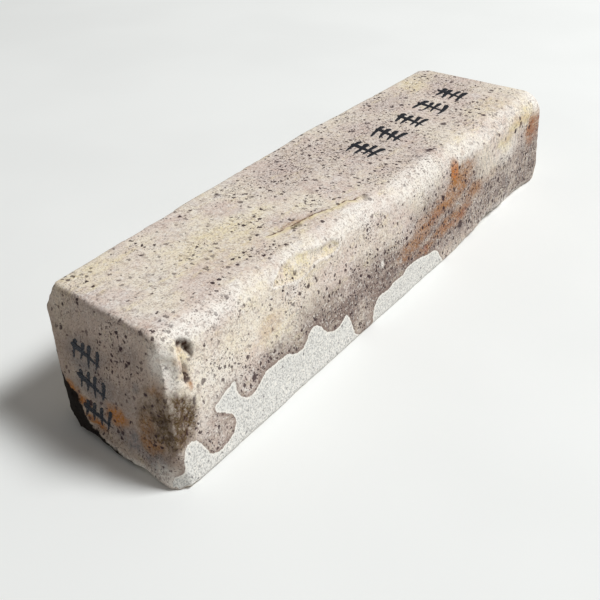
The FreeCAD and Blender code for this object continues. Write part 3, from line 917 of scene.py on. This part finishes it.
def ink_finish(ink):
    """Brush ink: near black, greyer and broken where the brush ran dry."""
    f = Finish("brush_ink")
    path = f.add("UVMap", uv_map="stroke").outputs["UV"]
    hairs = f.add("Mapping", {"Vector": path, "Scale": (2.2, 16.0, 1.0)}).outputs["Vector"]
    streaks = f.noise(hairs, 1.0, 3.0, 0.6)
    grain = f.noise(f.millimetres(), 0.5, 2.0, 0.6)
    thin = f.plus(f.times(streaks, 0.6), f.times(grain, 0.4))
    thin = f.plus(thin, f.times(f.value("worn"), 0.3))
    shade = f.mix(f.step(thin, 0.52, 0.8), solid(ink.ink), solid(ink.dry_ink))
    cover = f.step(thin, 0.76, 0.66)
    inputs = {"Base Color": shade, "Alpha": cover, "Roughness": 0.62, "Specular IOR Level": 0.35}
    return f.surface(inputs, grain, INK_BUMP)


def floor_finish(stage):
    """A matt white sheet with a barely seen mottle."""
    f = Finish("white_sheet")
    mottle = f.noise(f.millimetres(), 90.0, 2.0)
    shaded = [value * 0.97 for value in stage.floor]
    shade = f.mix(f.step(mottle, 0.35, 0.65), solid(stage.floor), solid(shaded))
    inputs = {"Base Color": shade, "Roughness": 0.75, "Specular IOR Level": 0.2}
    return f.surface(inputs, mottle, SHEET_BUMP)


# ---------------- pieces

def add_piece(name, mesh, material, node):
    """Makes the object, hangs it on the root body, and hides the CAD part that it stands for."""
    mesh.materials.clear()
    mesh.materials.append(material)
    piece = placed(name, mesh)
    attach(piece, "root")
    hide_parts(node)
    return piece


class WHETSTONE_OT_block(bpy.types.Operator):
    """Builds the stone: sawn, worn and stained"""
    bl_idname = "whetstone.block"
    bl_label = "Stone block"

    def execute(self, context):
        sizes = context.scene.whetstone_sizes
        bm = sawn_block(sizes)
        settle(bm)
        mesh = even_mesh(bm, sizes.mesh_step, "stone_block")
        points, normals = mesh_arrays(mesh)
        places = points / MM - PLACES_ORIGIN
        fields = stain_fields(places, normals)
        moved = worn_points(places, normals, fields, sizes) + PLACES_ORIGIN
        mesh.vertices.foreach_set("co", (moved * MM).ravel())
        add_fields(mesh, fields)
        mesh.update()
        triangles = len(mesh.polygons) * 2
        if triangles > TRIANGLE_LIMIT:
            raise RuntimeError(f"the stone has {triangles} triangles")
        finish = stone_finish(context.scene.whetstone_colours)
        add_piece("stone_block", mesh, finish, "whetstone_block")
        return {"FINISHED"}


TOP_MARK_COUNT = 5
END_MARK_COUNT = 3
# Each mark is a bundle of UPRIGHTS strokes with one across them. TALLY_SPREAD is how much of
# the mark's breadth the upright ones take, and CROSS_REACH how far the other runs past them.
UPRIGHTS = 4
TALLY_SPREAD = 0.82
CROSS_REACH = 1.38
# The size of mark that the brush's heel and tip are given for.
BRUSHED_SIZE = 0.0115
# A stroke is laid on the stone from this far above it, and its film is this thick.
PROBE_HEIGHT = 0.004
FILM_THICKNESS = 0.00012


def tally_strokes(size, breadth, heel, hand):
    """A bundle of uneven upright strokes with one across it: each has a start, end, bend and press."""
    reach = size / 2 - heel
    spread = reach * breadth * TALLY_SPREAD
    strokes = []
    for index in range(UPRIGHTS):
        side = -spread + 2 * spread * index / (UPRIGHTS - 1)
        lean = hand.uniform(-0.06, 0.06) * size
        start = Vector((side + lean, reach * hand.uniform(0.8, 1.0)))
        finish = Vector((side - lean, -reach * hand.uniform(0.7, 1.0)))
        strokes.append((start, finish, hand.uniform(-0.05, 0.05) * size, hand.uniform(0.85, 1.15)))
    start = Vector((-spread * CROSS_REACH, reach * hand.uniform(0.2, 0.42)))
    finish = Vector((spread * CROSS_REACH, -reach * hand.uniform(0.2, 0.42)))
    strokes.append((start, finish, 0.02 * size, 1.1))
    return strokes


def ribbon(bm, stroke, heel, tip, hand, place, wear):
    """One brush stroke as a strip of small squares, laid by place on the stone's face."""
    start, finish, bend, press = stroke
    grid = bmesh.ops.create_grid(bm, x_segments=26, y_segments=5, size=1.0)
    uv_layer = bm.loops.layers.uv["stroke"]
    worn_layer = bm.verts.layers.float["worn"]
    run = finish - start
    side = Vector((-run.y, run.x)).normalized()
    shift = hand.uniform(0, 50)
    for vert in grid["verts"]:
        t, v = (vert.co.x + 1) / 2, vert.co.y
        swell = press * (heel * (1 - t) ** 2 + tip * (1 + 0.5 * math.sin(math.pi * t)))
        swell *= min(1, 0.3 + 9 * t) * min(1, 0.1 + 7 * (1 - t))
        swell *= 1 + 0.06 * math.sin(7 * t + shift) + 0.05 * math.sin(31 * t + 2 * shift) * v
        centre = start + run * t + side * (bend * 4 * t * (1 - t))
        vert.co = place(centre + side * (swell * v))
        vert[worn_layer] = wear + 0.45 * max(0, t - 0.6) + 0.25 * abs(v) ** 3
        for loop in vert.link_loops:
            loop[uv_layer].uv = (t * 4 + shift, v)


def ink_piece(name, marks, node, ink, wear, breadth):
    """All the marks of one face: each is a centre, a size, and the face's right, up and outward."""
    stone = bpy.data.objects["stone_block"].data
    tree = BVHTree.FromPolygons([v.co for v in stone.vertices], [p.vertices for p in stone.polygons])
    hand = random.Random(ink.seed + len(marks))
    bm = bmesh.new()
    bm.loops.layers.uv.new("stroke")
    bm.verts.layers.float.new("worn")
    for origin, size, right, up, outward in marks:
        scale = size / BRUSHED_SIZE
        heel, tip = ink.heel * scale ** 0.5, ink.tip * scale ** 0.5
        for order, stroke in enumerate(tally_strokes(size, breadth, heel, hand)):
            film = ink.film * (1 + 0.15 * order)

            def place(flat):
                above = origin + right * flat.x + up * flat.y + outward * PROBE_HEIGHT
                hit = tree.ray_cast(above, -outward)[0]
                if hit is None:
                    raise RuntimeError(f"{name}: a stroke runs off the stone")
                return hit + outward * film
            ribbon(bm, stroke, heel, tip, hand, place, wear)
    bmesh.ops.recalc_face_normals(bm, faces=bm.faces)
    if bm.faces[0].normal.dot(marks[0][4]) < 0:
        bmesh.ops.reverse_faces(bm, faces=bm.faces)
    mesh = mesh_from(bm, name)
    for polygon in mesh.polygons:
        polygon.use_smooth = True
    piece = add_piece(name, mesh, ink_finish(ink), node)
    skin = piece.modifiers.new("Film", "SOLIDIFY")
    skin.thickness = FILM_THICKNESS
    skin.offset = -1.0


class WHETSTONE_OT_top_marks(bpy.types.Operator):
    """Brushes the column of tally marks down the honing face"""
    bl_idname = "whetstone.top_marks"
    bl_label = "Marks on the honing face"

    def execute(self, context):
        ink = context.scene.whetstone_ink
        size = TOP_MARKS_HIGH.y - TOP_MARKS_LOW.y
        pitch = (TOP_MARKS_HIGH.x - TOP_MARKS_LOW.x - size) / (TOP_MARK_COUNT - 1)
        middle = (TOP_MARKS_HIGH.y + TOP_MARKS_LOW.y) / 2
        marks = []
        for index in range(TOP_MARK_COUNT):
            x = TOP_MARKS_LOW.x + size / 2 + index * pitch
            origin = Vector((x, middle, TOP_MARKS_HIGH.z))
            marks.append((origin, size, Vector((0, -1, 0)), Vector((1, 0, 0)), Vector((0, 0, 1))))
        ink_piece("top_brush_marks", marks, "top_ink_marks", ink, wear=0.0, breadth=1.0)
        return {"FINISHED"}


class WHETSTONE_OT_end_marks(bpy.types.Operator):
    """Brushes the column of rubbed tally marks down the marked end"""
    bl_idname = "whetstone.end_marks"
    bl_label = "Marks on the end"

    def execute(self, context):
        ink = context.scene.whetstone_ink
        sizes = context.scene.whetstone_sizes
        foot = near_corner(sizes, sizes.near_foot_width, 0)
        along_end = near_corner(sizes, 0, 0) - foot
        up_end = near_corner(sizes, sizes.near_foot_width, sizes.height) - foot
        outward = along_end.cross(up_end).normalized()
        right = along_end.normalized()
        up = outward.cross(right)
        half = ink.end_mark_size / 2
        top = END_MARKS_HIGH - Vector((0, half, half * up.z))
        low = END_MARKS_LOW + Vector((0, half, half * up.z))
        marks = []
        for index in range(END_MARK_COUNT):
            origin = top.lerp(low, index / (END_MARK_COUNT - 1))
            marks.append((origin, ink.end_mark_size, right, up, outward))
        ink_piece("end_brush_marks", marks, "end_ink_marks", ink, wear=0.4, breadth=1.6)
        return {"FINISHED"}


# ---------------- stage

CAMERA_PLACE = Vector((-0.20655, -0.13059, 0.14841))
CAMERA_HEADING = math.radians(34.86)
CAMERA_DIP = math.radians(33.09)
CAMERA_ROLL = math.radians(-0.19)
CAMERA_LENS = 54.0
CAMERA_SENSOR = 36.0
KEY_PLACE = Vector((0.80, -0.86, 1.64))
KEY_AIM = Vector((0, 0, 0.015))
KEY_SIZE = (0.70, 0.54)
KEY_COLOUR = (0.972, 0.99, 1.0)
SKY_COLOUR = (1.0, 0.963, 0.925, 1.0)
FLOOR_REACH = 2.5


def add_floor(stage):
    bm = bmesh.new()
    bmesh.ops.create_grid(bm, x_segments=8, y_segments=8, size=FLOOR_REACH)
    mesh = mesh_from(bm, "white_sheet")
    mesh.materials.append(floor_finish(stage))
    floor = placed("white_sheet", mesh)


def add_light(scene, stage):
    """A large lamp, and even light from all round."""
    lamp = bpy.data.lights.new("window", "AREA")
    lamp.shape = "RECTANGLE"
    lamp.size, lamp.size_y = KEY_SIZE
    lamp.energy = stage.key_power
    lamp.color = KEY_COLOUR
    key = placed("window", lamp)
    key.location = KEY_PLACE
    key.rotation_euler = (KEY_AIM - KEY_PLACE).to_track_quat("-Z", "Y").to_euler()

    world = bpy.data.worlds.new("room")
    world.use_nodes = True
    background = world.node_tree.nodes["Background"]
    background.inputs["Color"].default_value = SKY_COLOUR
    background.inputs["Strength"].default_value = stage.sky
    scene.world = world


def add_camera(scene):
    lens = bpy.data.cameras.new("camera")
    lens.lens = CAMERA_LENS
    lens.sensor_width = CAMERA_SENSOR
    lens.clip_start = 0.01
    camera = placed("camera", lens)
    turn = Euler((math.pi / 2 - CAMERA_DIP, 0, CAMERA_HEADING - math.pi / 2)).to_matrix()
    turn = turn @ Matrix.Rotation(CAMERA_ROLL, 3, "Z")
    camera.matrix_world = Matrix.Translation(CAMERA_PLACE) @ turn.to_4x4()
    scene.camera = camera


class WHETSTONE_OT_stage(bpy.types.Operator):
    """Adds the white sheet, the lamp, the even light and the camera"""
    bl_idname = "whetstone.stage"
    bl_label = "Stage"

    def execute(self, context):
        scene = context.scene
        add_floor(scene.whetstone_stage)
        add_light(scene, scene.whetstone_stage)
        add_camera(scene)
        scene.view_settings.view_transform = "Standard"
        return {"FINISHED"}


class WHETSTONE_PT_panel(bpy.types.Panel):
    bl_idname = "WHETSTONE_PT_panel"
    bl_label = "Natural Whetstone"
    bl_space_type = "VIEW_3D"
    bl_region_type = "UI"
    bl_category = "Whetstone"

    def draw(self, context):
        for group, operators in PANEL_ROWS:
            box = self.layout.box()
            settings = getattr(context.scene, group)
            for name in settings.bl_rna.properties.keys():
                if name not in ("rna_type", "name"):
                    box.prop(settings, name)
            for operator in operators:
                box.operator(operator)


GROUPS = {
    "whetstone_sizes": WhetstoneSizes,
    "whetstone_colours": WhetstoneColours,
    "whetstone_ink": WhetstoneInk,
    "whetstone_stage": WhetstoneStage,
}
OPERATORS = (WHETSTONE_OT_block, WHETSTONE_OT_top_marks, WHETSTONE_OT_end_marks, WHETSTONE_OT_stage)
PANEL_ROWS = (
    ("whetstone_sizes", ()),
    ("whetstone_colours", ("whetstone.block",)),
    ("whetstone_ink", ("whetstone.top_marks", "whetstone.end_marks")),
    ("whetstone_stage", ("whetstone.stage",)),
)


def register():
    for cls in (*GROUPS.values(), *OPERATORS, WHETSTONE_PT_panel):
        bpy.utils.register_class(cls)
    for name, cls in GROUPS.items():
        setattr(bpy.types.Scene, name, bpy.props.PointerProperty(type=cls))


def unregister():
    for name in GROUPS:
        delattr(bpy.types.Scene, name)
    for cls in (WHETSTONE_PT_panel, *reversed(OPERATORS), *reversed(GROUPS.values())):
        bpy.utils.unregister_class(cls)


def main():
    register()
    bpy.ops.whetstone.block()
    bpy.ops.whetstone.top_marks()
    bpy.ops.whetstone.end_marks()
    bpy.ops.whetstone.stage()


if __name__ == "__main__":
    main()
